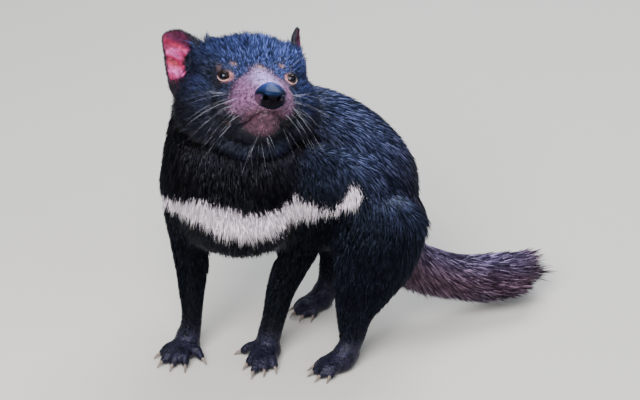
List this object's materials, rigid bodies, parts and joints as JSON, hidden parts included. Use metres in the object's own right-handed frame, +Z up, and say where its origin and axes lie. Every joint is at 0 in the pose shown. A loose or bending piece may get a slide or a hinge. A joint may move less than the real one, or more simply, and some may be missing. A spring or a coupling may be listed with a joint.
{
  "type": "tasmanian devil",
  "caption": "Life-size still model of a Tasmanian devil, standing hunched with its body curled to its left and its head turned up to the viewer.",
  "frame": {"origin": "middle of the underside of its bounding box, on the floor that it stands on", "axes": "+Z up, +X towards the side that its chest and face turn to, +Y from the chest towards the tail"},
  "size_m": [0.2368, 0.4268, 0.3455],
  "materials": {
    "coat": "coarse black fur",
    "bare_skin": "purplish brown skin, thinly haired",
    "ear_skin": "thin pink skin",
    "nose_skin": "moist black skin",
    "eye": "wet and dark",
    "claw": "horn"
  },
  "bodies": {
    "root": {"claw_front_left_1": "claw", "claw_front_left_2": "claw", "claw_front_left_3": "claw", "claw_front_left_4": "claw", "claw_front_left_5": "claw", "claw_front_right_1": "claw", "claw_front_right_2": "claw", "claw_front_right_3": "claw", "claw_front_right_4": "claw", "claw_front_right_5": "claw", "claw_hind_left_1": "claw", "claw_hind_left_2": "claw", "claw_hind_left_3": "claw", "claw_hind_left_4": "claw", "claw_hind_right_1": "claw", "claw_hind_right_2": "claw", "claw_hind_right_3": "claw", "claw_hind_right_4": "claw", "ear_left": "ear_skin", "ear_right": "ear_skin", "eye_left": "eye", "eye_right": "eye", "forearm_left": "coat", "forearm_right": "coat", "head": "coat", "neck": "coat", "nose": "nose_skin", "paw_front_left": "bare_skin", "paw_front_right": "bare_skin", "paw_hind_left": "bare_skin", "paw_hind_right": "bare_skin", "shank_left": "coat", "shank_right": "coat", "tail_root": "coat", "tail_tip": "coat", "thigh_left": "coat", "thigh_right": "coat", "trunk": "coat", "upper_arm_left": "coat", "upper_arm_right": "coat"}
  },
  "joints": []
}
